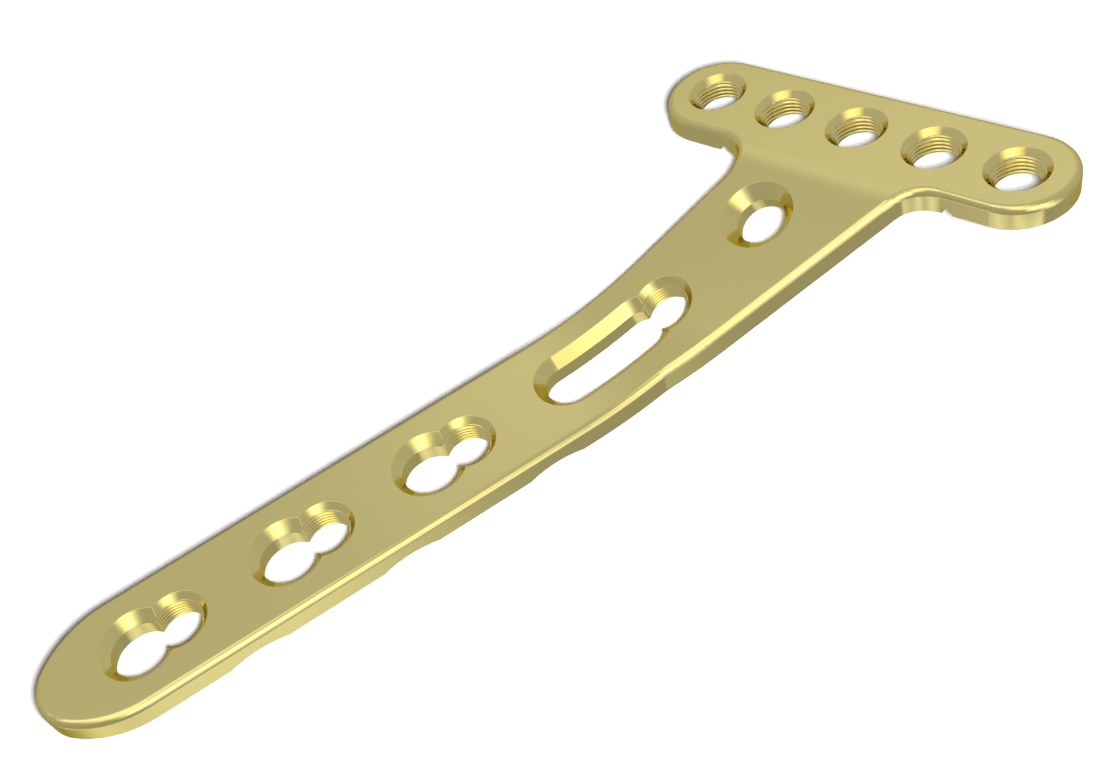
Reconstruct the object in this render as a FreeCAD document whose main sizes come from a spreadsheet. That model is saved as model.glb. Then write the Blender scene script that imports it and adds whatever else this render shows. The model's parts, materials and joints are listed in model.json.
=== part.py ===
import FreeCAD, Part
import os
from math import atan2, cos, degrees, hypot, radians, sin, sqrt, tan

import Sketcher

from FreeCAD import Placement, Rotation, Vector

# Locking T-plate for a right-hand bone end, in millimetres and degrees.
# +X runs along the shaft to the head, +Y to the left edge, +Z out of the shaft's upper face.
# The origin is on the shaft's flat underside, under the first combination hole.
# The shaft is flat, bends up at the long slot, and the head folds back down about a skewed line.
# Lengths along the plate are measured on its upper face, round the bend.
SIZES = {
    "plate_thickness": 2.2,
    "shaft_width": 10.8,
    # Rounded nose: a tip arc that runs into two larger flank arcs
    "nose_overhang": 8.5,
    "nose_radius": 4.0,
    "flank_radius": 9.0,
    # Gentle bend that lifts the neck off the bone
    "bend_start": 38.0,
    "bend_radius": 36.0,
    "bend_angle": 18.9,
    # Past the bend's start the plate widens on its right edge only, from an all but sharp kink
    "bend_to_flare": 7.0,
    "flare_angle": 7.8,
    "kink_radius": 0.8,
    # Neck, from the bend's end to the head fold, which is about a line that is skewed to it
    "neck_length": 14.67,
    "skew_angle": 19.2,
    "fold_radius": 7.0,
    "fold_angle": 18.2,
    # Head, from the fold line to its row of holes, with its left and right ends round
    "fold_to_row": 6.05,
    "head_shift": -1.06,
    "head_width": 9.0,
    "right_end_margin": 0.18,
    "ear_fillet": 3.0,
    # Upper edge rounded, lower edge just broken
    "edge_fillet": 0.55,
    "underside_break": 0.1,
    # Combination holes: a plain screw hole that runs into a locking hole
    "combi_count": 3,
    "combi_pitch": 13.0,
    "combi_rim_radius": 3.15,
    "combi_bore_radius": 2.3,
    "lock_offset": 3.32,
    "lock_rim_radius": 2.58,
    "lock_bore_radius": 2.1,
    # Lean of the plain holes' lower wall towards the nose, where the screw pulls the plate along
    "lean_angle": 7.0,
    # Long slot over the bend, between the centres of its round ends, with a locking hole past it
    "bend_to_slot": 1.2,
    "slot_length": 7.1,
    "slot_to_lock": 2.62,
    "slot_rim_half": 2.85,
    "slot_bore_half": 1.95,
    # Plain round hole in the neck, from the bend's end
    "bend_to_neck_hole": 9.53,
    "neck_rim_radius": 3.1,
    "neck_bore_radius": 2.05,
    # Row of locking holes across the head
    "head_count": 5,
    "head_pitch": 7.2,
    # Shallow hollows under the shaft between the holes
    "hollow_count": 3,
    "hollow_start": 7.55,
    "hollow_pitch": 13.4,
    "hollow_radius": 7.3,
    "hollow_depth": 0.55,
    # Round-topped grooves under the head's two ears
    "groove_width": 1.0,
    "groove_depth": 0.65,
}

# Cutters run this far past the faces that they open
CLEAR = 1.0
SHEET = "sizes"
COUNTERSINK = 45.0
# A face is level or upright when the vertical part of its unit normal is beyond or under these
LEVEL = 0.8
UPRIGHT = 0.3


def bend_end():
    return SIZES["bend_start"] + SIZES["bend_radius"] * radians(SIZES["bend_angle"])


def on_centre_line(s):
    """Plan place, height and slope of the upper face's centre line at a distance s along it."""
    start, radius = SIZES["bend_start"], SIZES["bend_radius"]
    full = radians(SIZES["bend_angle"])
    turn = min(max((s - start) / radius, 0.0), full)
    straight = max(s - start - radius * full, 0.0)
    x = min(s, start) + radius * sin(turn) + straight * cos(turn)
    z = SIZES["plate_thickness"] + radius * (1 - cos(turn)) + straight * sin(turn)
    return x, z, degrees(turn)


def head_frames():
    """Placements of the neck's and the head's upper face: x away from the fold, y along the row."""
    x, z, slope = on_centre_line(bend_end() + SIZES["neck_length"])
    neck = Rotation(Vector(0, 1, 0), -slope) * Rotation(Vector(0, 0, 1), SIZES["skew_angle"])
    head = neck * Rotation(Vector(0, 1, 0), SIZES["fold_angle"])
    fold = Vector(x, 0, z)
    centre = fold + head.multVec(Vector(SIZES["fold_to_row"], SIZES["head_shift"], 0))
    return Placement(fold, neck), Placement(centre, head)


def worked_out():
    """Values that follow from the driving sizes: the two sheets' runs and the head seen in plan."""
    neck, head = head_frames()
    row = head.Rotation.multVec(Vector(0, 1, 0))
    plan_length = hypot(row.x, row.y)
    skew = radians(SIZES["skew_angle"])
    flare = radians(SIZES["flare_angle"])
    flare_x = SIZES["bend_start"] + SIZES["bend_to_flare"]
    half_row = (SIZES["head_count"] - 1) / 2 * SIZES["head_pitch"]
    fold_reach = SIZES["fold_radius"] * tan(radians(SIZES["fold_angle"] / 2))
    neck_half = SIZES["shaft_width"] / 2 + (neck.Base.x - flare_x) * tan(flare)
    neck_run = SIZES["neck_length"] - neck_half * tan(skew) - fold_reach / cos(skew)
    slot_start = SIZES["bend_start"] + SIZES["bend_to_slot"]
    slot_end = slot_start + SIZES["slot_length"]
    centres = {
        "combi_plain": 0.0,
        "combi_lock": SIZES["lock_offset"],
        "slot_start": slot_start,
        "slot_end": slot_end,
        "slot_lock": slot_end + SIZES["slot_to_lock"],
        "neck_hole": bend_end() + SIZES["bend_to_neck_hole"],
    }
    places = {
        "fold_reach": fold_reach,
        "neck_half_width": neck_half,
        "neck_run": neck_run,
        "neck_overlap": 2 * neck_half * sin(skew) + CLEAR,
        "head_run": SIZES["fold_to_row"] - fold_reach + SIZES["head_width"] / 2 + CLEAR,
        "head_span": 2 * (half_row + abs(SIZES["head_shift"]) + SIZES["head_width"]),
        "head_plan_x": head.Base.x,
        "head_plan_y": head.Base.y,
        "head_plan_skew": degrees(atan2(-row.x, row.y)),
        "left_end_plan": half_row * plan_length,
        "right_end_plan": (half_row + SIZES["right_end_margin"]) * plan_length,
    }
    for hole, s in centres.items():
        x, z, slope = on_centre_line(s)
        places.update({f"{hole}_x": x, f"{hole}_z": z, f"{hole}_slope": slope})
    return places


PLACES = worked_out()


def make_sheet(doc):
    sheet = doc.addObject("Spreadsheet::Sheet", SHEET)
    for line_number, (name, value) in enumerate({**SIZES, **PLACES}.items(), start=1):
        sheet.set(f"A{line_number}", name)
        sheet.set(f"B{line_number}", str(value))
        sheet.setAlias(f"B{line_number}", name)
    doc.recompute()


def origin_part(body, role):
    return next(part for part in body.Origin.OriginFeatures if part.Role == role)


def new_sketch(body, role, name, offset=Placement()):
    """Sketch on one of the body's own origin planes."""
    sketch = body.newObject("Sketcher::SketchObject", name)
    sketch.AttachmentSupport = (origin_part(body, role), [""])
    sketch.MapMode = "FlatFace"
    sketch.AttachmentOffset = offset
    return sketch


def bind(sketch, name, expression, kind, *where):
    """Driving constraint, tied to the sheet."""
    number = sketch.addConstraint(Sketcher.Constraint(kind, *where))
    sketch.renameConstraint(number, name)
    sketch.setExpression(f"Constraints.{name}", expression)


def line(sketch, start, end):
    return sketch.addGeometry(Part.LineSegment(Vector(*start, 0), Vector(*end, 0)))


def arc(sketch, centre, radius, start_angle, end_angle):
    """Counter-clockwise arc, angles in degrees."""
    circle = Part.Circle(Vector(*centre, 0), Vector(0, 0, 1), radius)
    return sketch.addGeometry(Part.ArcOfCircle(circle, radians(start_angle), radians(end_angle)))


def polygon(sketch, points):
    """Closed chain of lines, joined end to start."""
    lines = [line(sketch, a, b) for a, b in zip(points, points[1:] + points[:1])]
    for first, second in zip(lines, lines[1:] + lines[:1]):
        sketch.addConstraint(Sketcher.Constraint("Coincident", first, 2, second, 1))
    return lines


def ribbon(sketch, left, top, run_in, radius, angle, run_out, up):
    """Side view of a bent sheet: two straight runs joined by concentric arcs.

    The upper face starts level at (left, top). It turns up for up = 1 and down for up = -1,
    and radius is the upper face's own.
    """
    thickness = SIZES["plate_thickness"]
    turn = radians(angle)
    under_radius = radius + up * thickness
    centre = (left + run_in, top + up * radius)
    ahead = Vector(cos(turn), up * sin(turn), 0)

    def on_arc(r, turned):
        return Vector(centre[0] + r * sin(turned), centre[1] - up * r * cos(turned), 0)

    top_bend = on_arc(radius, turn)
    under_bend = on_arc(under_radius, turn)
    spans = (-90, -90 + angle) if up > 0 else (90 - angle, 90)
    top_in = line(sketch, (left, top), on_arc(radius, 0)[:2])
    top_arc = arc(sketch, centre, radius, *spans)
    top_out = line(sketch, top_bend[:2], (top_bend + ahead * run_out)[:2])
    cap = line(sketch, (top_bend + ahead * run_out)[:2], (under_bend + ahead * run_out)[:2])
    under_out = line(sketch, (under_bend + ahead * run_out)[:2], under_bend[:2])
    under_arc = arc(sketch, centre, under_radius, *spans)
    under_in = line(sketch, on_arc(under_radius, 0)[:2], (left, top - thickness))
    foot = line(sketch, (left, top - thickness), (left, top))
    first, last = (1, 2) if up > 0 else (2, 1)
    add = sketch.addConstraint
    add(Sketcher.Constraint("Tangent", top_in, 2, top_arc, first))
    add(Sketcher.Constraint("Tangent", top_arc, last, top_out, 1))
    add(Sketcher.Constraint("Coincident", top_out, 2, cap, 1))
    add(Sketcher.Constraint("Coincident", cap, 2, under_out, 1))
    add(Sketcher.Constraint("Tangent", under_out, 2, under_arc, last))
    add(Sketcher.Constraint("Tangent", under_arc, first, under_in, 1))
    add(Sketcher.Constraint("Coincident", under_in, 2, foot, 1))
    add(Sketcher.Constraint("Coincident", foot, 2, top_in, 1))
    add(Sketcher.Constraint("Coincident", under_arc, 3, top_arc, 3))
    add(Sketcher.Constraint("Horizontal", top_in))
    add(Sketcher.Constraint("Horizontal", under_in))
    add(Sketcher.Constraint("Vertical", foot))
    add(Sketcher.Constraint("Perpendicular", top_out, cap))
    add(Sketcher.Constraint("Parallel", top_out, under_out))
    bind(sketch, "thickness", f"{SHEET}.plate_thickness", "DistanceY", foot, 1, foot, 2, thickness)
    return top_in, top_arc, top_out, foot


def pad_both_ways(body, sketch, length, name):
    pad = body.newObject("PartDesign::Pad", name)
    pad.Profile = sketch
    pad.Midplane = True
    pad.setExpression("Length", length)
    return pad


def add_shaft_sheet(body):
    """Flat shaft, gentle bend and neck, wider than the outline that trims them."""
    left = -SIZES["nose_overhang"] - CLEAR
    run_in = SIZES["bend_start"] - left
    sketch = new_sketch(body, "XZ_Plane", "shaft_side_view")
    top_in, top_arc, top_out, foot = ribbon(
        sketch, left, SIZES["plate_thickness"], run_in, SIZES["bend_radius"],
        SIZES["bend_angle"], PLACES["neck_run"], 1)
    sketch.addConstraint(Sketcher.Constraint("PointOnObject", foot, 1, -1))
    bind(sketch, "overhang", f"{SHEET}.nose_overhang + {CLEAR}", "DistanceX", foot, 1, -1, 1, -left)
    bind(sketch, "start", f"{SHEET}.bend_start", "DistanceX", -1, 1, top_in, 2, SIZES["bend_start"])
    bind(sketch, "bend", f"{SHEET}.bend_radius", "Radius", top_arc, SIZES["bend_radius"])
    bind(sketch, "slope", f"{SHEET}.bend_angle * 1 deg",
         "Angle", -1, 1, top_out, 1, radians(SIZES["bend_angle"]))
    bind(sketch, "neck", f"{SHEET}.neck_run", "Distance", top_out, PLACES["neck_run"])
    return pad_both_ways(body, sketch, f"2 * {SHEET}.neck_half_width", "shaft_sheet")


def add_head_sheet(body):
    """End of the neck, fold and head, drawn square to the skewed fold line."""
    neck = head_frames()[0]
    reach = PLACES["fold_reach"]
    left = -PLACES["neck_overlap"] - reach
    side_on = Placement(neck.Base, neck.Rotation * Rotation(Vector(1, 0, 0), 90))
    sketch = new_sketch(body, "XY_Plane", "head_side_view", side_on)
    top_in, top_arc, top_out, foot = ribbon(
        sketch, left, 0.0, PLACES["neck_overlap"], SIZES["fold_radius"],
        SIZES["fold_angle"], PLACES["head_run"], -1)
    sketch.addConstraint(Sketcher.Constraint("PointOnObject", foot, 2, -1))
    bind(sketch, "overlap", f"{SHEET}.neck_overlap + {SHEET}.fold_reach",
         "DistanceX", foot, 2, -1, 1, -left)
    bind(sketch, "reach", f"{SHEET}.fold_reach", "DistanceX", top_in, 2, -1, 1, reach)
    bind(sketch, "fold", f"{SHEET}.fold_radius", "Radius", top_arc, SIZES["fold_radius"])
    bind(sketch, "slope", f"{SHEET}.fold_angle * 1 deg",
         "Angle", top_out, 1, -1, 1, radians(SIZES["fold_angle"]))
    bind(sketch, "head", f"{SHEET}.head_run", "Distance", top_out, PLACES["head_run"])
    return pad_both_ways(body, sketch, f"{SHEET}.head_span", "head_sheet")


def rounded_corner(before, corner, after, radius):
    """Centre and the two tangent points of an arc that rounds a corner."""
    back = (before - corner).normalize()
    ahead = (after - corner).normalize()
    half = back.getAngle(ahead) / 2
    centre = corner + (back + ahead).normalize() * (radius / sin(half))
    reach = radius / tan(half)
    return centre, corner + back * reach, corner + ahead * reach


def arc_between(sketch, centre, radius, start, end):
    """Counter-clockwise arc from one point to another."""
    angles = [degrees(atan2(p.y - centre.y, p.x - centre.x)) for p in (start, end)]
    if angles[1] <= angles[0]:
        angles[1] += 360
    return arc(sketch, (centre.x, centre.y), radius, *angles)


def crossing(start, along, other, beside):
    """Point where two plan lines meet, each given by a point and a direction."""
    gap = ((other - start).cross(beside)).z / (along.cross(beside)).z
    return start + along * gap


def plan_outline(sketch):
    """Edge of the whole plate seen from above, with tangent arcs at the nose, neck and ears."""
    half = SIZES["shaft_width"] / 2
    tip = SIZES["nose_radius"]
    flank = SIZES["flank_radius"]
    ear = SIZES["head_width"] / 2
    nose = Vector(tip - SIZES["nose_overhang"], 0, 0)
    flank_x = nose.x + sqrt((flank - tip) ** 2 - (flank - half) ** 2)
    flare = radians(SIZES["flare_angle"])
    skew = radians(PLACES["head_plan_skew"])
    row = Vector(-sin(skew), cos(skew), 0)
    ahead = Vector(cos(skew), sin(skew), 0)
    head = Vector(PLACES["head_plan_x"], PLACES["head_plan_y"], 0)
    left_centre = head + row * PLACES["left_end_plan"]
    right_centre = head - row * PLACES["right_end_plan"]
    kink = Vector(SIZES["bend_start"] + SIZES["bend_to_flare"], -half, 0)
    left_side = Vector(0, half, 0)
    left_corner = crossing(left_side, Vector(1, 0, 0), head - ahead * ear, row)
    right_corner = crossing(kink, Vector(cos(flare), -sin(flare), 0), head - ahead * ear, row)
    left_fill = rounded_corner(left_side, left_corner, left_centre - ahead * ear, SIZES["ear_fillet"])
    right_fill = rounded_corner(kink, right_corner, right_centre - ahead * ear, SIZES["ear_fillet"])
    bend = rounded_corner(Vector(flank_x, -half, 0), kink, right_corner, SIZES["kink_radius"])
    flanks = [Vector(flank_x, side * (half - flank), 0) for side in (1, -1)]
    joins = [nose + (nose - centre).normalize() * tip for centre in flanks]

    left_flank = arc_between(sketch, flanks[0], flank, Vector(flank_x, half, 0), joins[0])
    tip_arc = arc_between(sketch, nose, tip, joins[0], joins[1])
    right_flank = arc_between(sketch, flanks[1], flank, joins[1], Vector(flank_x, -half, 0))
    right_edge = line(sketch, (flank_x, -half), bend[1][:2])
    kink_arc = arc_between(sketch, bend[0], SIZES["kink_radius"], bend[2], bend[1])
    flare_edge = line(sketch, bend[2][:2], right_fill[1][:2])
    right_fillet = arc_between(sketch, right_fill[0], SIZES["ear_fillet"], right_fill[2], right_fill[1])
    right_ear = line(sketch, right_fill[2][:2], (right_centre - ahead * ear)[:2])
    right_end = arc_between(sketch, right_centre, ear, right_centre - ahead * ear, right_centre + ahead * ear)
    front = line(sketch, (right_centre + ahead * ear)[:2], (left_centre + ahead * ear)[:2])
    left_end = arc_between(sketch, left_centre, ear, left_centre + ahead * ear, left_centre - ahead * ear)
    left_ear = line(sketch, (left_centre - ahead * ear)[:2], left_fill[2][:2])
    left_fillet = arc_between(sketch, left_fill[0], SIZES["ear_fillet"], left_fill[1], left_fill[2])
    left_edge = line(sketch, left_fill[1][:2], (flank_x, half))

    joints = ((left_flank, 2, tip_arc, 1), (tip_arc, 2, right_flank, 1), (right_flank, 2, right_edge, 1),
              (right_edge, 2, kink_arc, 2), (kink_arc, 1, flare_edge, 1), (flare_edge, 2, right_fillet, 2),
              (right_fillet, 1, right_ear, 1), (right_ear, 2, right_end, 1), (right_end, 2, front, 1),
              (front, 2, left_end, 1), (left_end, 2, left_ear, 1), (left_ear, 2, left_fillet, 2),
              (left_fillet, 1, left_edge, 1), (left_edge, 2, left_flank, 1))
    for joint in joints:
        sketch.addConstraint(Sketcher.Constraint("Tangent", *joint))
    sketch.addConstraint(Sketcher.Constraint("Horizontal", right_edge))
    sketch.addConstraint(Sketcher.Constraint("Horizontal", left_edge))
    sketch.addConstraint(Sketcher.Constraint("PointOnObject", tip_arc, 3, -1))
    sketch.addConstraint(Sketcher.Constraint("Equal", left_flank, right_flank))
    sketch.addConstraint(Sketcher.Constraint("Equal", left_fillet, right_fillet))
    sketch.addConstraint(Sketcher.Constraint("Equal", left_end, right_end))
    sketch.addConstraint(Sketcher.Constraint("Parallel", front, left_ear))
    sketch.addConstraint(Sketcher.Constraint("Parallel", front, right_ear))
    bind(sketch, "left_half", f"{SHEET}.shaft_width / 2", "DistanceY", -1, 1, left_edge, 2, half)
    bind(sketch, "right_half", f"{SHEET}.shaft_width / 2", "DistanceY", right_edge, 1, -1, 1, half)
    bind(sketch, "tip", f"{SHEET}.nose_radius", "Radius", tip_arc, tip)
    bind(sketch, "tip_place", f"{SHEET}.nose_overhang - {SHEET}.nose_radius",
         "DistanceX", tip_arc, 3, -1, 1, -nose.x)
    bind(sketch, "flank", f"{SHEET}.flank_radius", "Radius", left_flank, flank)
    bind(sketch, "kink", f"{SHEET}.kink_radius", "Radius", kink_arc, SIZES["kink_radius"])
    bind(sketch, "kink_place", f"{SHEET}.bend_start + {SHEET}.bend_to_flare"
         f" - {SHEET}.kink_radius * tan({SHEET}.flare_angle * 0.5 deg)",
         "DistanceX", -1, 1, right_edge, 2, bend[1].x)
    bind(sketch, "flare", f"{SHEET}.flare_angle * 1 deg", "Angle", flare_edge, 1, -1, 1, flare)
    bind(sketch, "corner", f"{SHEET}.ear_fillet", "Radius", right_fillet, SIZES["ear_fillet"])
    bind(sketch, "ear", f"{SHEET}.head_width / 2", "Radius", left_end, ear)
    turned = f"({SHEET}.head_plan_skew * 1 deg)"
    for name, end, centre, side in (("left_end", left_end, left_centre, 1),
                                    ("right_end", right_end, right_centre, -1)):
        along = f"({side} * {SHEET}.{name}_plan)"
        bind(sketch, f"{name}_x", f"{SHEET}.head_plan_x - {along} * sin{turned}",
             "DistanceX", -1, 1, end, 3, centre.x)
        bind(sketch, f"{name}_y", f"{SHEET}.head_plan_y + {along} * cos{turned}",
             "DistanceY", -1, 1, end, 3, centre.y)


def trim_to_outline(body):
    """Takes away everything outside the plan outline."""
    sketch = new_sketch(body, "XY_Plane", "plan_outline")
    plan_outline(sketch)
    left = -SIZES["nose_overhang"] - SIZES["head_width"]
    right = PLACES["head_plan_x"] + PLACES["head_span"]
    side = PLACES["head_span"]
    frame = polygon(sketch, [(left, -side), (right, -side), (right, side), (left, side)])
    for number, kind in zip(frame, ("Horizontal", "Vertical", "Horizontal", "Vertical")):
        sketch.addConstraint(Sketcher.Constraint(kind, number))
    bind(sketch, "frame_left", f"{SHEET}.nose_overhang + {SHEET}.head_width",
         "DistanceX", frame[0], 1, -1, 1, -left)
    bind(sketch, "frame_right", f"{SHEET}.head_plan_x + {SHEET}.head_span",
         "DistanceX", -1, 1, frame[0], 2, right)
    bind(sketch, "frame_low", f"{SHEET}.head_span", "DistanceY", frame[0], 1, -1, 1, side)
    bind(sketch, "frame_high", f"{SHEET}.head_span", "DistanceY", -1, 1, frame[2], 1, side)
    pocket = body.newObject("PartDesign::Pocket", "trim")
    pocket.Profile = sketch
    pocket.Type = "ThroughAll"
    pocket.Midplane = True
    return pocket


def outline_edges(shape, facing):
    """Names of the edges between the walls and the upper (1) or under (-1) face."""
    names = []
    for number, edge in enumerate(shape.Edges, start=1):
        middle = edge.valueAt((edge.FirstParameter + edge.LastParameter) / 2)
        normals = [face.normalAt(*face.Surface.parameter(middle)).z
                   for face in shape.ancestorsOfType(edge, Part.Face)]
        level = any(facing * z > LEVEL for z in normals)
        upright = any(abs(z) < UPRIGHT for z in normals)
        if level and upright:
            names.append(f"Edge{number}")
    return names


def soften_edges(body, base, facing, kind, measure, size):
    """Fillet or chamfer all round the outline, on the upper (1) or under (-1) face."""
    softened = body.newObject(f"PartDesign::{kind}", f"{size}_all_round")
    softened.Base = (base, outline_edges(base.Shape, facing))
    softened.setExpression(measure, f"{SHEET}.{size}")
    body.Tip = softened
    return softened


def countersunk_section(sketch, rim, bore):
    """Half section of a countersink over a straight bore, below a face at height 0."""
    depth = SIZES["plate_thickness"] + CLEAR
    low = SIZES[bore]
    wide = SIZES[rim] + CLEAR
    foot, wall, slant, mouth, axis = polygon(
        sketch, [(0, -depth), (low, -depth), (low, low - SIZES[rim]), (wide, CLEAR), (0, CLEAR)])
    add = sketch.addConstraint
    add(Sketcher.Constraint("Horizontal", foot))
    add(Sketcher.Constraint("Vertical", wall))
    add(Sketcher.Constraint("Horizontal", mouth))
    add(Sketcher.Constraint("Vertical", axis))
    add(Sketcher.Constraint("PointOnObject", foot, 1, -2))
    add(Sketcher.Constraint("Angle", slant, radians(COUNTERSINK)))
    add(Sketcher.Constraint("DistanceY", -1, 1, mouth, 1, CLEAR))
    bind(sketch, "bore", f"{SHEET}.{bore}", "DistanceX", foot, 1, foot, 2, low)
    bind(sketch, "mouth", f"{SHEET}.{rim} + {CLEAR}", "DistanceX", mouth, 2, mouth, 1, wide)
    bind(sketch, "foot", f"{SHEET}.plate_thickness + {CLEAR}", "DistanceY", foot, 1, -1, 1, depth)


def turned_cut(body, sketch, axis, name):
    cut = body.newObject("PartDesign::Groove", name)
    cut.Profile = sketch
    cut.ReferenceAxis = (sketch, [axis])
    return cut


def side_view_sketch(body, name, place, lean):
    """Sketch in the side view whose vertical axis is square to the upper face at a hole's place.

    A leaning one points down towards the nose.
    """
    offset = Placement(Vector(PLACES[f"{place}_x"], PLACES[f"{place}_z"], 0), Rotation(Vector(0, 0, 1), 1))
    sketch = new_sketch(body, "XZ_Plane", name, offset)
    slope = f"{SHEET}.{place}_slope - {SHEET}.lean_angle" if lean else f"{SHEET}.{place}_slope"
    sketch.setExpression("AttachmentOffset.Base.x", f"{SHEET}.{place}_x * 1 mm")
    sketch.setExpression("AttachmentOffset.Base.y", f"{SHEET}.{place}_z * 1 mm")
    sketch.setExpression("AttachmentOffset.Rotation.Angle", f"({slope}) * 1 deg")
    return sketch


def countersunk_hole(body, place, rim, bore):
    """Screw hole square to the upper face."""
    sketch = side_view_sketch(body, f"{place}_section", place, False)
    countersunk_section(sketch, rim, bore)
    return turned_cut(body, sketch, "V_Axis", f"{place}_hole")


def leaning_wall(body, place, bore):
    """Lower wall of a plain hole, which leans towards the nose from under the countersink."""
    sketch = side_view_sketch(body, f"{place}_lean_section", place, True)
    depth = SIZES["plate_thickness"] + CLEAR
    low = SIZES[bore]
    foot, wall, top, axis = polygon(sketch, [(0, -depth), (low, -depth), (low, 0), (0, 0)])
    for number, kind in ((foot, "Horizontal"), (wall, "Vertical"), (top, "Horizontal"), (axis, "Vertical")):
        sketch.addConstraint(Sketcher.Constraint(kind, number))
    sketch.addConstraint(Sketcher.Constraint("Coincident", top, 2, -1, 1))
    bind(sketch, "bore", f"{SHEET}.{bore}", "DistanceX", foot, 1, foot, 2, low)
    bind(sketch, "foot", f"{SHEET}.plate_thickness + {CLEAR}", "DistanceY", foot, 1, -1, 1, depth)
    return turned_cut(body, sketch, "V_Axis", f"{place}_lean")


def repeat(body, originals, direction, count, pitch, name):
    pattern = body.newObject("PartDesign::LinearPattern", name)
    pattern.Originals = originals
    pattern.Direction = direction
    pattern.setExpression("Occurrences", f"{SHEET}.{count}")
    pattern.setExpression("Length", f"({SHEET}.{count} - 1) * {SHEET}.{pitch}")
    body.Tip = pattern


def cut_combination_holes(body):
    """Plain screw hole and locking hole that run into each other, repeated along the shaft."""
    cuts = [countersunk_hole(body, "combi_plain", "combi_rim_radius", "combi_bore_radius"),
            leaning_wall(body, "combi_plain", "combi_bore_radius"),
            countersunk_hole(body, "combi_lock", "lock_rim_radius", "lock_bore_radius")]
    along = (origin_part(body, "X_Axis"), [""])
    repeat(body, cuts, along, "combi_count", "combi_pitch", "combination_holes")


def cut_long_slot(body):
    """Slot swept round the bend's own axis, with round ends and a locking hole past its far end."""
    countersunk_hole(body, "slot_start", "slot_rim_half", "slot_bore_half")
    leaning_wall(body, "slot_start", "slot_bore_half")
    countersunk_hole(body, "slot_end", "slot_rim_half", "slot_bore_half")
    countersunk_hole(body, "slot_lock", "lock_rim_radius", "lock_bore_radius")
    base = Vector(0, PLACES["slot_start_z"], PLACES["slot_start_x"])
    offset = Placement(base, Rotation(Vector(-1, 0, 0), 1))
    sketch = new_sketch(body, "YZ_Plane", "slot_section", offset)
    sketch.setExpression("AttachmentOffset.Base.y", f"{SHEET}.slot_start_z * 1 mm")
    sketch.setExpression("AttachmentOffset.Base.z", f"{SHEET}.slot_start_x * 1 mm")
    sketch.setExpression("AttachmentOffset.Rotation.Angle", f"{SHEET}.slot_start_slope * 1 deg")
    depth = SIZES["plate_thickness"] + CLEAR
    low = SIZES["slot_bore_half"]
    wide = SIZES["slot_rim_half"] + CLEAR
    shoulder = low - SIZES["slot_rim_half"]
    right_side = [(low, -depth), (low, shoulder), (wide, CLEAR)]
    left_side = [(-y, z) for y, z in reversed(right_side)]
    wall, slant, mouth, left_slant, left_wall, foot = polygon(sketch, right_side + left_side)
    axis = line(sketch, (wide, SIZES["bend_radius"]), (-wide, SIZES["bend_radius"]))
    sketch.setConstruction(axis, True)
    add = sketch.addConstraint
    add(Sketcher.Constraint("Vertical", wall))
    add(Sketcher.Constraint("Vertical", left_wall))
    add(Sketcher.Constraint("Angle", slant, radians(COUNTERSINK)))
    add(Sketcher.Constraint("Symmetric", foot, 1, foot, 2, -2))
    add(Sketcher.Constraint("Symmetric", mouth, 1, mouth, 2, -2))
    add(Sketcher.Constraint("Symmetric", axis, 1, axis, 2, -2))
    add(Sketcher.Constraint("Equal", slant, left_slant))
    add(Sketcher.Constraint("Equal", mouth, axis))
    add(Sketcher.Constraint("DistanceY", -1, 1, mouth, 1, CLEAR))
    bind(sketch, "bore", f"2 * {SHEET}.slot_bore_half", "DistanceX", foot, 1, foot, 2, 2 * low)
    bind(sketch, "mouth", f"2 * ({SHEET}.slot_rim_half + {CLEAR})",
         "DistanceX", mouth, 2, mouth, 1, 2 * wide)
    bind(sketch, "foot", f"{SHEET}.plate_thickness + {CLEAR}", "DistanceY", foot, 1, -1, 1, depth)
    bind(sketch, "bend", f"{SHEET}.bend_radius", "DistanceY", -1, 1, axis, 1, SIZES["bend_radius"])
    slot = turned_cut(body, sketch, "Axis0", "long_slot")
    slot.setExpression("Angle", f"{SHEET}.slot_length / {SHEET}.bend_radius * 1 rad")


def cut_neck_hole(body):
    countersunk_hole(body, "neck_hole", "neck_rim_radius", "neck_bore_radius")


def cut_head_holes(body):
    """Row of locking holes square to the head's face, from its left end."""
    head = head_frames()[1]
    half_row = (SIZES["head_count"] - 1) / 2 * SIZES["head_pitch"]
    side_on = head.Rotation * Rotation(Vector(1, 0, 0), 90)
    first = Placement(head.multVec(Vector(0, half_row, 0)), side_on)
    sketch = new_sketch(body, "XY_Plane", "head_lock_section", first)
    countersunk_section(sketch, "lock_rim_radius", "lock_bore_radius")
    hole = turned_cut(body, sketch, "V_Axis", "head_lock_hole")
    repeat(body, [hole], (sketch, ["N_Axis"]), "head_count", "head_pitch", "head_holes")


def cut_hollows(body):
    """Shallow cylindrical hollows across the shaft's underside."""
    sketch = new_sketch(body, "XZ_Plane", "hollow_section")
    start, radius = SIZES["hollow_start"], SIZES["hollow_radius"]
    low = radius - SIZES["hollow_depth"]
    circle = sketch.addGeometry(Part.Circle(Vector(start, -low, 0), Vector(0, 0, 1), radius))
    bind(sketch, "size", f"{SHEET}.hollow_radius", "Radius", circle, radius)
    bind(sketch, "place", f"{SHEET}.hollow_start", "DistanceX", -1, 1, circle, 3, start)
    bind(sketch, "low", f"{SHEET}.hollow_radius - {SHEET}.hollow_depth",
         "DistanceY", circle, 3, -1, 1, low)
    pocket = cut_both_ways(body, sketch, f"{SHEET}.shaft_width + {2 * CLEAR}", "hollow")
    along = (origin_part(body, "X_Axis"), [""])
    repeat(body, [pocket], along, "hollow_count", "hollow_pitch", "hollows")


def cut_both_ways(body, sketch, length, name):
    pocket = body.newObject("PartDesign::Pocket", name)
    pocket.Profile = sketch
    pocket.Midplane = True
    pocket.setExpression("Length", length)
    body.Tip = pocket
    return pocket


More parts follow.
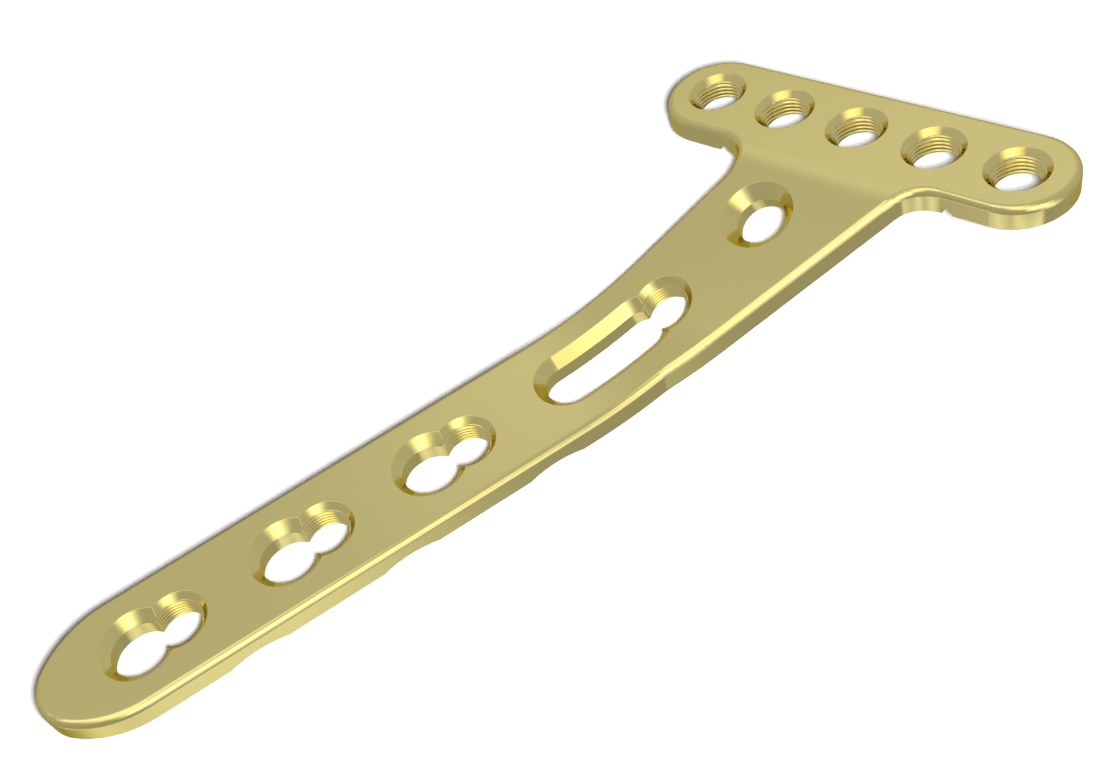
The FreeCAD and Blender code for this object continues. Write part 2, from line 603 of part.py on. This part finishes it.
def cut_ear_grooves(body):
    """Small grooves across the head's underside, midway between its outer pairs of holes."""
    head = head_frames()[1]
    across = Rotation(Vector(0, 0, 1), 90) * Rotation(Vector(1, 0, 0), 90)
    sketch = new_sketch(body, "XY_Plane", "ear_groove_section", Placement(head.Base, head.Rotation * across))
    half = SIZES["groove_width"] / 2
    top = -SIZES["plate_thickness"] + SIZES["groove_depth"] - half
    foot = -SIZES["plate_thickness"] - CLEAR
    place = (SIZES["head_count"] / 2 - 1) * SIZES["head_pitch"]
    for side, name in ((1, "left"), (-1, "right")):
        middle = side * place
        round_top = arc(sketch, (middle, top), half, 0, 180)
        walls = [line(sketch, (middle - half, top), (middle - half, foot)),
                 line(sketch, (middle + half, foot), (middle + half, top))]
        mouth = line(sketch, (middle - half, foot), (middle + half, foot))
        for joint in ((round_top, 2, walls[0], 1), (walls[1], 2, round_top, 1)):
            sketch.addConstraint(Sketcher.Constraint("Tangent", *joint))
        sketch.addConstraint(Sketcher.Constraint("Coincident", walls[0], 2, mouth, 1))
        sketch.addConstraint(Sketcher.Constraint("Coincident", mouth, 2, walls[1], 1))
        sketch.addConstraint(Sketcher.Constraint("Vertical", walls[0]))
        sketch.addConstraint(Sketcher.Constraint("Vertical", walls[1]))
        sketch.addConstraint(Sketcher.Constraint("Horizontal", mouth))
        ends = (-1, 1, round_top, 3) if side > 0 else (round_top, 3, -1, 1)
        bind(sketch, name, f"({SHEET}.head_count / 2 - 1) * {SHEET}.head_pitch", "DistanceX", *ends, place)
        bind(sketch, f"{name}_size", f"{SHEET}.groove_width / 2", "Radius", round_top, half)
        bind(sketch, f"{name}_top",
             f"{SHEET}.plate_thickness - {SHEET}.groove_depth + {SHEET}.groove_width / 2",
             "DistanceY", round_top, 3, -1, 1, -top)
        bind(sketch, f"{name}_foot", f"{SHEET}.plate_thickness + {CLEAR}",
             "DistanceY", mouth, 1, -1, 1, -foot)
    cut_both_ways(body, sketch, f"{SHEET}.head_width + {2 * CLEAR}", "ear_grooves")


def make_bone_plate(doc):
    body = doc.addObject("PartDesign::Body", "bone_plate")
    body.Label = "bone_plate"
    body.Placement = Placement()
    add_shaft_sheet(body)
    add_head_sheet(body)
    trimmed = trim_to_outline(body)
    doc.recompute()
    rounded = soften_edges(body, trimmed, 1, "Fillet", "Radius", "edge_fillet")
    doc.recompute()
    soften_edges(body, rounded, -1, "Chamfer", "Size", "underside_break")
    doc.recompute()
    for cut in (cut_combination_holes, cut_long_slot, cut_neck_hole, cut_head_holes,
                cut_hollows, cut_ear_grooves):
        before = body.Shape.Volume
        cut(body)
        doc.recompute()
        if body.Shape.Volume > before - CLEAR:
            raise RuntimeError(f"{cut.__name__} takes nothing away")
    return body


def check(doc, bodies):
    for thing in doc.Objects:
        if "Invalid" in thing.State or "Error" in thing.State:
            raise RuntimeError(f"{thing.Name} failed: {thing.State}")
    for body in bodies:
        if body.Shape.isNull() or not body.Shape.isValid() or len(body.Shape.Solids) != 1:
            raise RuntimeError(f"{body.Label} is not one valid solid")


def main():
    doc = FreeCAD.newDocument("bone_plate")
    make_sheet(doc)
    bodies = [make_bone_plate(doc)]
    check(doc, bodies)
    os.makedirs("parts", exist_ok=True)
    for body in bodies:
        body.Shape.exportStep(f"parts/{body.Label}.step")
        print(body.Label, "volume", round(body.Shape.Volume, 2), "faces", len(body.Shape.Faces))


main()
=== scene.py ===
"""Gives a packed bone plate its anodised finish, its screw threads and a small white studio."""

import json
import math

import bpy
from bpy.props import FloatProperty, FloatVectorProperty, IntProperty, PointerProperty
from bpy.types import Operator, Panel, PropertyGroup
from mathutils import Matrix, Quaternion, Vector


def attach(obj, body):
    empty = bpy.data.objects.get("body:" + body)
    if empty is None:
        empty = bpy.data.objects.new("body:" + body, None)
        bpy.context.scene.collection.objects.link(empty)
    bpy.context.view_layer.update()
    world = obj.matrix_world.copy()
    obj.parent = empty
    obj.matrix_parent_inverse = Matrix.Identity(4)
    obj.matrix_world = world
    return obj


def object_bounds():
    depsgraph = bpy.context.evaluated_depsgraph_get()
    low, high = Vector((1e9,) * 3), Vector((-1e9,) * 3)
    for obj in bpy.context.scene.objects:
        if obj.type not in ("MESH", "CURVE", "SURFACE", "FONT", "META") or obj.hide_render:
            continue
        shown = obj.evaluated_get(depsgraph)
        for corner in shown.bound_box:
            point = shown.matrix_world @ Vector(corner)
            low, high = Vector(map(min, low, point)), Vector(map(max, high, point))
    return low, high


bl_info = {
    "name": "Bone Plate Dressing",
    "version": (1, 0, 0),
    "blender": (4, 5, 0),
    "location": "View3D > Sidebar > Bone Plate",
    "description": "Anodised titanium finish, locking threads and a studio for a bone plate",
    "category": "Object",
}

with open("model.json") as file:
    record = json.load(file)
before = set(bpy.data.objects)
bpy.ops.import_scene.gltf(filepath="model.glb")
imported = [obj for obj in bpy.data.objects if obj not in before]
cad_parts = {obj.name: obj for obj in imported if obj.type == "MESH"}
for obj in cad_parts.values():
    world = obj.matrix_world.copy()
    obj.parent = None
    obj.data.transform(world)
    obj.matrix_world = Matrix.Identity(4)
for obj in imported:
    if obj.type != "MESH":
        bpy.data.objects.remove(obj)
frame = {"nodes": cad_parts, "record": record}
CAD_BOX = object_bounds()
MM = 0.001
MOUNTS = {mount["name"]: mount for mount in frame["record"]["mounts"]}

# Half of the angle over which a plain hole opens a locking hole's wall, towards the nose.
COMBI_OPENING = math.radians(43.4)
SLOT_OPENING = math.radians(47.2)

# Part of the pitch that the foot of a ridge takes up, and how far it goes into the bored wall.
RIDGE_FOOT = 0.96
FOOT_DEPTH = 0.01 * MM
# Slope of the cone in which a thread runs out under the countersink: radius over height.
RUN_OUT = 1.8
# Creases of a ridge that turn by more than this stay sharp.
SHARP_CREASE = math.radians(30)

# Most values of a noise texture lie between these two.
NOISE_LOW, NOISE_HIGH = 0.3, 0.7
# How far the grain changes the roughness of the polish, and the depth of its scratches.
POLISH_CHANGE = 0.03
GRAIN_DEPTH = 0.002 * MM

# The camera of the photograph, found from the rims of the plate's holes. Its focal length is in
# pixels of a frame of this width, and its sensor in millimetres.
CAMERA_PLACE = Vector((15.774, -72.960, 89.425)) * MM
CAMERA_TURN = Quaternion((0.891287, 0.351511, 0.007615, -0.286337))
CAMERA_NEAREST = 1 * MM
FOCAL_PIXELS = 1436.67
FRAME_WIDTH = 1100
SENSOR = 36.0

# The floor is a square that reaches this far each way (metres), just under the plate.
FLOOR_REACH = 3.0
FLOOR_GAP = 0.02 * MM
# The parts of the floor round the shaft and round the head that only the lamps light, from corner
# to corner (mm). Over this distance beyond them the floor turns plain white.
LIT_BY_LAMPS = (
    (Vector((-11, -10, -9)), Vector((62, 12, 9))),
    (Vector((60, -21, -9)), Vector((85, 28, 9))),
)
FLOOR_FADE = 8 * MM

# Lamps beside the camera: how far each stands off it, its radius, the point it is aimed at (mm),
# and the angle its beam spans (degrees). They only light the floor, to draw the soft shadow.
LAMPS = {
    "shaft_lamp": ((5.6, -10.8, -7.8), 12, (-4, 10, 0), 70),
    "head_lamp": ((2.8, -2.6, -1.5), 4, (76, -2, 0), 38),
}
# Part of a beam over which its edge fades.
BEAM_FADE = 0.8

WHITE = (1, 1, 1)
# Level of the room as the metal mirrors it, and its rise towards +X, +Y and +Z.
ROOM_LEVEL = 0.49
ROOM_DRIFT = (0.041, 0.058, 0.085)
# Soft light panels round the plate, as the metal mirrors them. Each has its middle as an azimuth
# from +Y towards +X and an elevation, its turn (degrees), its half width, half height and soft
# border (tangents of angles), and its level above the room's own.
PANELS = {
    "front_panel": (182, 16, -24, 0.0, 1.03, 0.72, 2.0),
    "front_core": (-163, 23, 52, 0.15, 0.31, 0.12, 0.9),
    "left_overhead_panel": (-67, 69, 33, 0.26, 0.38, 0.20, 0.82),
    "back_right_panel": (35, 40, -16, 0.37, 0.22, 0.16, 0.17),
    "low_left_panel": (-124, -54, 19, 0.73, 0.14, 0.19, 0.63),
    "low_front_strip": (-154, -47, 5, 0.38, 0.02, 0.06, 0.84),
}
# The panel that gives the countersinks their yellow highlights, in the same terms.
WARM_PANEL = (-152, 53, 18, 0.56, 0.22, 0.24, 0.9)
# A panel fades in over this cosine, from the edge of its own half of the room.
PANEL_HORIZON = 0.1


def srgb(code):
    """Linear colour of an sRGB hex code."""
    parts = [int(code[i:i + 2], 16) / 255 for i in (0, 2, 4)]
    return tuple(p / 12.92 if p <= 0.04045 else ((p + 0.055) / 1.055) ** 2.4 for p in parts)


def add_node(tree, kind, settings=None, sockets=None):
    """Adds a node; a socket takes either a value or another node's output."""
    node = tree.nodes.new(kind)
    for name, value in (settings or {}).items():
        setattr(node, name, value)
    for key, value in (sockets or {}).items():
        if isinstance(value, bpy.types.NodeSocket):
            tree.links.new(value, node.inputs[key])
        else:
            node.inputs[key].default_value = value
    return node


class PlateFinish(PropertyGroup):
    gold: FloatVectorProperty(
        name="Gold", description="Colour of the anodised film", subtype="COLOR",
        default=srgb("E7DA94"), min=0, max=1)
    deep_gold: FloatVectorProperty(
        name="Deep gold", description="Colour where the film is a little thicker", subtype="COLOR",
        default=srgb("E2D58D"), min=0, max=1)
    edge: FloatVectorProperty(
        name="Edge colour", description="Tint of the film at a grazing look", subtype="COLOR",
        default=srgb("F0E08C"), min=0, max=1)
    film_patch: FloatProperty(
        name="Film patch", description="Distance over which the film's thickness drifts",
        default=9 * MM, min=1 * MM, max=50 * MM, unit="LENGTH", precision=4)
    polish: FloatProperty(
        name="Polish", description="Roughness of the satin polish",
        default=0.12, min=0.05, max=0.6)
    grain: FloatProperty(
        name="Grain", description="Size of the satin grain",
        default=0.12 * MM, min=0.02 * MM, max=1 * MM, unit="LENGTH", precision=5)
    rim: FloatProperty(
        name="Rim", description="Radius to which polishing has rounded the sharp rims",
        default=0.05 * MM, min=0, max=0.2 * MM, unit="LENGTH", precision=5)


class LockingThread(PropertyGroup):
    head_pitch: FloatProperty(
        name="Head pitch", description="Distance between two ridges in the head's holes",
        default=0.36 * MM, min=0.2 * MM, max=1 * MM, unit="LENGTH", precision=5)
    shaft_pitch: FloatProperty(
        name="Shaft pitch", description="Distance between two ridges in the shaft's holes",
        default=0.33 * MM, min=0.2 * MM, max=1 * MM, unit="LENGTH", precision=5)
    depth: FloatProperty(
        name="Depth", description="Height of a ridge above the bored wall",
        default=0.20 * MM, min=0.05 * MM, max=0.4 * MM, unit="LENGTH", precision=5)
    crest: FloatProperty(
        name="Crest", description="Width of the flat on top of a ridge",
        default=0.04 * MM, min=0.01 * MM, max=0.2 * MM, unit="LENGTH", precision=5)
    steps: IntProperty(
        name="Steps", description="Straight steps in one turn", default=80, min=24, max=160)


class PlateStudio(PropertyGroup):
    floor: FloatVectorProperty(
        name="Floor", description="Colour of the floor", subtype="COLOR",
        default=srgb("FFFFFF"), min=0, max=1)
    glow: FloatProperty(
        name="Floor glow", description="Level that the floor keeps inside a shadow",
        default=0.02, min=0, max=1)
    power: FloatProperty(
        name="Lamp power", description="Power of each of the two lamps beside the camera",
        default=64.0, min=0, unit="POWER")
    warm: FloatVectorProperty(
        name="Warm panel", description="Colour of the warm panel above the front",
        subtype="COLOR", default=srgb("FFF082"), min=0, max=1)
    fill: FloatProperty(
        name="Fill", description="Level of the light from all round", default=0.1, min=0, max=1)


def plate_metal():
    """Titanium, milled, satin polished and anodised to gold.

    The thin oxide film gives a pale warm gold that drifts slightly with its thickness and stays
    gold at a grazing look. The polish under it leaves soft highlights with a fine grain that shows
    from close by, and rims that catch a thin line of light.
    """
    name = "anodised_titanium_satin_gold"
    if name in bpy.data.materials:
        return bpy.data.materials[name]
    finish = bpy.context.scene.plate_finish
    metal = bpy.data.materials.new(name)
    metal.use_nodes = True
    tree = metal.node_tree
    tree.nodes.clear()
    place = add_node(tree, "ShaderNodeTexCoord").outputs["Object"]
    patches = add_node(tree, "ShaderNodeTexNoise", {}, {
        "Vector": place, "Scale": 1 / finish.film_patch, "Detail": 2.0, "Roughness": 0.5})
    film = add_node(tree, "ShaderNodeMix", {"data_type": "RGBA"}, {
        0: patches.outputs["Fac"], 6: (*finish.deep_gold, 1), 7: (*finish.gold, 1)})
    # Real satin grain is a few hundredths of a millimetre, too fine to show, so this is coarser.
    grain = add_node(tree, "ShaderNodeTexNoise", {}, {
        "Vector": place, "Scale": 1 / finish.grain, "Detail": 3.0, "Roughness": 0.6})
    polish = add_node(tree, "ShaderNodeMapRange", {}, {
        "Value": grain.outputs["Fac"], "From Min": NOISE_LOW, "From Max": NOISE_HIGH,
        "To Min": finish.polish - POLISH_CHANGE, "To Max": finish.polish + POLISH_CHANGE})
    rims = add_node(tree, "ShaderNodeBevel", {"samples": 6}, {"Radius": finish.rim})
    bump = add_node(tree, "ShaderNodeBump", {}, {
        "Strength": 0.25, "Distance": GRAIN_DEPTH, "Height": grain.outputs["Fac"],
        "Normal": rims.outputs["Normal"]})
    shader = add_node(tree, "ShaderNodeBsdfPrincipled", {}, {
        "Base Color": film.outputs[2], "Metallic": 1.0, "Specular Tint": (*finish.edge, 1),
        "Roughness": polish.outputs["Result"], "Normal": bump.outputs["Normal"]})
    add_node(tree, "ShaderNodeOutputMaterial", {}, {"Surface": shader.outputs["BSDF"]})
    return metal


def ridge_ring(height, low, high, root, thread, pitch):
    """Section of a ridge at one height: pairs of radius and height, cut at the wall's two ends."""
    half = pitch / 2 * RIDGE_FOOT
    flat = thread.crest / 2
    flank = (half + flat) / 2
    crest = root - thread.depth
    ring = []
    for offset in (-half, -flank, -flat, flat, flank, half):
        level = min(max(height + offset, low), high)
        climb = min(max((abs(level - height) - flat) / (half - flat), 0.0), 1.0)
        radius = crest + climb * (root - crest)
        ring.append((max(radius, root - RUN_OUT * (high - level)), level))
    return [(root, ring[0][1]), *ring, (root, ring[-1][1])]


def screw_thread(name, hole, opening, thread, pitch):
    """Helical ridge on the wall of a locking hole.

    A hole's opening faces the nose, and the ridge starts again past it on each turn. A full wall
    has opening 0 and one ridge, which starts half a pitch below the wall and ends as far above it.
    """
    axis = Vector(hole["axis"]).normalized()
    ahead = (Vector((1, 0, 0)) - axis * axis.x).normalized()
    side = axis.cross(ahead)
    middle = Vector(hole["pos_m"])
    wall = hole["dims"]["length_mm"] * MM
    low, high = -wall / 2, wall / 2
    root = hole["dims"]["r_mm"] * MM + FOOT_DEPTH
    turns = wall / pitch + 1
    if opening:
        lead_in = 0.0
        starts = [math.tau * turn - math.pi + opening for turn in range(math.ceil(turns))]
        runs = [(start, start + 2 * (math.pi - opening)) for start in starts]
    else:
        lead_in = 0.5
        runs = [(0.0, math.tau * turns)]
    points, faces = [], []
    for start, end in runs:
        count = round((end - start) / math.tau * thread.steps)
        rings = []
        for step in range(count + 1):
            angle = start + (end - start) * step / count
            height = low + pitch * (angle / math.tau - lead_in)
            out = ahead * math.cos(angle) + side * math.sin(angle)
            ring = []
            for radius, level in ridge_ring(height, low, high, root, thread, pitch):
                ring.append(len(points))
                points.append(middle + out * radius + axis * level)
            rings.append(ring)
        for first, second in zip(rings, rings[1:]):
            for i in range(len(first)):
                j = (i + 1) % len(first)
                faces.append((first[i], first[j], second[j], second[i]))
        faces.append(tuple(reversed(rings[0])))
        faces.append(tuple(rings[-1]))
    mesh = bpy.data.meshes.new(name)
    mesh.from_pydata(points, [], faces)
    mesh.validate()
    for face in mesh.polygons:
        face.use_smooth = True
    mesh.set_sharp_from_angle(angle=SHARP_CREASE)
    mesh.materials.append(plate_metal())
    piece = bpy.data.objects.new(name, mesh)
    bpy.context.scene.collection.objects.link(piece)
    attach(piece, "root")


def lock_holes(start):
    """Names and mounts of the locking holes in one row."""
    return [(name, hole) for name, hole in sorted(MOUNTS.items()) if name.startswith(start)]


class PLATE_OT_finish(Operator):
    """Give the plate its anodised titanium finish"""

    bl_idname = "bone_plate.finish"
    bl_label = "Anodised finish"

    def execute(self, context):
        plate = frame["nodes"]["bone_plate"]
        if not plate.material_slots:
            raise RuntimeError("the plate has no material slot")
        for slot in plate.material_slots:
            slot.material = plate_metal()
        return {"FINISHED"}


class PLATE_OT_head_threads(Operator):
    """Cut the threads of the head's row of locking holes"""

    bl_idname = "bone_plate.head_threads"
    bl_label = "Head threads"

    def execute(self, context):
        holes = lock_holes("head_lock_")
        if not holes:
            raise RuntimeError("the head has no locking holes")
        thread = context.scene.locking_thread
        for name, hole in holes:
            screw_thread(f"{name}_thread", hole, 0.0, thread, thread.head_pitch)
        return {"FINISHED"}


class PLATE_OT_shaft_threads(Operator):
    """Cut the open threads of the shaft's combination holes and of the long slot"""

    bl_idname = "bone_plate.shaft_threads"
    bl_label = "Shaft threads"

    def execute(self, context):
        holes = [(*row, COMBI_OPENING) for row in lock_holes("combi_lock_")]
        if not holes:
            raise RuntimeError("the shaft has no locking holes")
        holes.append(("slot_lock", MOUNTS["slot_lock"], SLOT_OPENING))
        thread = context.scene.locking_thread
        for name, hole, opening in holes:
            screw_thread(f"{name}_thread", hole, opening, thread, thread.shaft_pitch)
        return {"FINISHED"}


def studio_floor(studio):
    """Table top in matt white paint, which has no shine and holds the lamps' soft shadow.

    Away from the plate it glows white by itself. The metal looks through it, at the room's own
    light, and from below it is clear.
    """
    material = bpy.data.materials.new("matt_white_table")
    material.use_nodes = True
    tree = material.node_tree
    tree.nodes.clear()
    place = add_node(tree, "ShaderNodeTexCoord").outputs["Object"]
    distances = []
    for low, high in LIT_BY_LAMPS:
        beyond = place
        for operation, value in (
                ("SUBTRACT", (low + high) / 2 * MM), ("ABSOLUTE", (0, 0, 0)),
                ("SUBTRACT", (high - low) / 2 * MM), ("MAXIMUM", (0, 0, 0))):
            beyond = add_node(tree, "ShaderNodeVectorMath", {"operation": operation}, {
                0: beyond, 1: value}).outputs[0]
        distances.append(add_node(tree, "ShaderNodeVectorMath", {"operation": "LENGTH"}, {
            0: beyond}).outputs["Value"])
    away = add_node(tree, "ShaderNodeMath", {"operation": "MINIMUM"}, {
        0: distances[0], 1: distances[1]})
    level = add_node(tree, "ShaderNodeMapRange", {"interpolation_type": "SMOOTHSTEP"}, {
        "Value": away.outputs[0], "From Min": 0.0, "From Max": FLOOR_FADE,
        "To Min": studio.glow, "To Max": 1.0})
    paint = add_node(tree, "ShaderNodeBsdfDiffuse", {}, {"Color": (*studio.floor, 1)})
    glow = add_node(tree, "ShaderNodeEmission", {}, {
        "Color": (*studio.floor, 1), "Strength": level.outputs["Result"]})
    table = add_node(tree, "ShaderNodeAddShader", {}, {0: paint.outputs[0], 1: glow.outputs[0]})
    clear = add_node(tree, "ShaderNodeBsdfTransparent")
    mirrored = add_node(tree, "ShaderNodeLightPath").outputs["Is Glossy Ray"]
    from_below = add_node(tree, "ShaderNodeNewGeometry").outputs["Backfacing"]
    passed = add_node(tree, "ShaderNodeMath", {"operation": "MAXIMUM"}, {
        0: mirrored, 1: from_below})
    surface = add_node(tree, "ShaderNodeMixShader", {}, {
        0: passed.outputs[0], 1: table.outputs[0], 2: clear.outputs[0]})
    add_node(tree, "ShaderNodeOutputMaterial", {}, {"Surface": surface.outputs[0]})
    return material


def panel_light(tree, look, panel):
    """Level that one soft panel gives to each direction of a mirrored look."""
    azimuth, elevation, turn = (math.radians(angle) for angle in panel[:3])
    half_width, half_height, border, level = panel[3:]
    middle = Vector((math.sin(azimuth) * math.cos(elevation),
                     math.cos(azimuth) * math.cos(elevation), math.sin(elevation)))
    sideways = Vector((math.cos(azimuth), -math.sin(azimuth), 0))
    rising = sideways.cross(middle)
    rising = rising if rising.z > 0 else -rising
    width_axis = math.cos(turn) * sideways + math.sin(turn) * rising
    height_axis = math.cos(turn) * rising - math.sin(turn) * sideways
    depth, across, along = (
        add_node(tree, "ShaderNodeVectorMath", {"operation": "DOT_PRODUCT"}, {
            0: look, 1: axis}).outputs["Value"]
        for axis in (middle, width_axis, height_axis))
    light = add_node(tree, "ShaderNodeMapRange", {}, {
        "Value": depth, "From Min": 0.0, "From Max": PANEL_HORIZON, "To Max": level})
    light = light.outputs["Result"]
    for offset, half in ((across, half_width), (along, half_height)):
        slope = add_node(tree, "ShaderNodeMath", {"operation": "DIVIDE"}, {0: offset, 1: depth})
        slope = add_node(tree, "ShaderNodeMath", {"operation": "ABSOLUTE"}, {
            0: slope.outputs[0]})
        inside = add_node(tree, "ShaderNodeMapRange", {"interpolation_type": "SMOOTHSTEP"}, {
            "Value": slope.outputs[0], "From Min": half - border, "From Max": half + border,
            "To Min": 1.0, "To Max": 0.0})
        light = add_node(tree, "ShaderNodeMath", {"operation": "MULTIPLY"}, {
            0: light, 1: inside.outputs["Result"]}).outputs[0]
    return light


def studio_world(studio):
    """White room, which polished metal sees as dim walls with soft light panels."""
    world = bpy.data.worlds.new("white_room")
    world.use_nodes = True
    tree = world.node_tree
    tree.nodes.clear()
    look = add_node(tree, "ShaderNodeTexCoord").outputs["Generated"]
    drift = add_node(tree, "ShaderNodeVectorMath", {"operation": "DOT_PRODUCT"}, {
        0: look, 1: ROOM_DRIFT})
    level = add_node(tree, "ShaderNodeMath", {"operation": "ADD"}, {
        0: drift.outputs["Value"], 1: ROOM_LEVEL}).outputs[0]
    for panel in PANELS.values():
        level = add_node(tree, "ShaderNodeMath", {"operation": "ADD"}, {
            0: level, 1: panel_light(tree, look, panel)}).outputs[0]
    walls, warm_panel, fill, backdrop = (
        add_node(tree, "ShaderNodeBackground", {}, {
            "Color": (*colour, 1), "Strength": strength}).outputs[0]
        for colour, strength in (
            (WHITE, level), (studio.warm, panel_light(tree, look, WARM_PANEL)),
            (WHITE, studio.fill), (WHITE, 1.0)))
    mirrored = add_node(tree, "ShaderNodeAddShader", {}, {0: walls, 1: warm_panel})
    path = add_node(tree, "ShaderNodeLightPath")
    light = add_node(tree, "ShaderNodeMixShader", {}, {
        0: path.outputs["Is Glossy Ray"], 1: fill, 2: mirrored.outputs[0]})
    room = add_node(tree, "ShaderNodeMixShader", {}, {
        0: path.outputs["Is Camera Ray"], 1: light.outputs[0], 2: backdrop})
    add_node(tree, "ShaderNodeOutputWorld", {}, {"Surface": room.outputs[0]})
    return world


def lamp_beside_camera(name, lamp, power):
    """Lamp with a soft beam of the same level at every distance."""
    offset, radius, target, span = lamp
    data = bpy.data.lights.new(name, "SPOT")
    data.energy = power
    data.spot_size = math.radians(span)
    data.spot_blend = BEAM_FADE
    data.shadow_soft_size = radius * MM
    data.use_nodes = True
    tree = data.node_tree
    tree.nodes.clear()
    even = add_node(tree, "ShaderNodeLightFalloff", {}, {"Strength": 1.0}).outputs["Constant"]
    bulb = add_node(tree, "ShaderNodeEmission", {}, {"Strength": even})
    add_node(tree, "ShaderNodeOutputLight", {}, {"Surface": bulb.outputs[0]})
    piece = bpy.data.objects.new(name, data)
    piece.location = CAMERA_PLACE + Vector(offset) * MM
    beam = Vector(target) * MM - piece.location
    piece.rotation_mode = "QUATERNION"
    piece.rotation_quaternion = beam.to_track_quat("-Z", "Y")
    # The metal mirrors the room's soft panels instead.
    piece.visible_glossy = False
    return piece


class PLATE_OT_studio(Operator):
    """Build the floor, the lights and the camera"""

    bl_idname = "bone_plate.studio"
    bl_label = "Studio"

    def execute(self, context):
        scene = context.scene
        studio = scene.plate_studio
        height = CAD_BOX[0].z - FLOOR_GAP
        mesh = bpy.data.meshes.new("table_top")
        mesh.from_pydata(
            [(x * FLOOR_REACH, y * FLOOR_REACH, height)
             for x, y in ((-1, -1), (1, -1), (1, 1), (-1, 1))], [], [(0, 1, 2, 3)])
        mesh.materials.append(studio_floor(studio))
        floor = bpy.data.objects.new("table_top", mesh)
        scene.collection.objects.link(floor)

        camera_data = bpy.data.cameras.new("camera")
        camera_data.sensor_width = SENSOR
        camera_data.lens = SENSOR * FOCAL_PIXELS / FRAME_WIDTH
        camera_data.clip_start = CAMERA_NEAREST
        camera = bpy.data.objects.new("camera", camera_data)
        camera.location = CAMERA_PLACE
        camera.rotation_mode = "QUATERNION"
        camera.rotation_quaternion = CAMERA_TURN
        scene.collection.objects.link(camera)
        scene.camera = camera

        for name, lamp in LAMPS.items():
            scene.collection.objects.link(lamp_beside_camera(name, lamp, studio.power))

        scene.world = studio_world(studio)
        scene.view_settings.view_transform = "Standard"
        return {"FINISHED"}


OPERATORS = (PLATE_OT_finish, PLATE_OT_head_threads, PLATE_OT_shaft_threads, PLATE_OT_studio)


class PLATE_PT_dressing(Panel):
    bl_idname = "PLATE_PT_dressing"
    bl_label = "Bone Plate"
    bl_space_type = "VIEW_3D"
    bl_region_type = "UI"
    bl_category = "Bone Plate"

    def draw(self, context):
        layout = self.layout
        scene = context.scene
        for group in (scene.plate_finish, scene.locking_thread, scene.plate_studio):
            box = layout.box()
            for name in group.__annotations__:
                box.prop(group, name)
        for operator in OPERATORS:
            layout.operator(operator.bl_idname)


CLASSES = (PlateFinish, LockingThread, PlateStudio, *OPERATORS, PLATE_PT_dressing)


def register():
    for kind in CLASSES:
        bpy.utils.register_class(kind)
    bpy.types.Scene.plate_finish = PointerProperty(type=PlateFinish)
    bpy.types.Scene.locking_thread = PointerProperty(type=LockingThread)
    bpy.types.Scene.plate_studio = PointerProperty(type=PlateStudio)


def unregister():
    del bpy.types.Scene.plate_studio
    del bpy.types.Scene.locking_thread
    del bpy.types.Scene.plate_finish
    for kind in reversed(CLASSES):
        bpy.utils.unregister_class(kind)


def main():
    register()
    bpy.ops.bone_plate.finish()
    bpy.ops.bone_plate.head_threads()
    bpy.ops.bone_plate.shaft_threads()
    bpy.ops.bone_plate.studio()


if __name__ == "__main__":
    main()
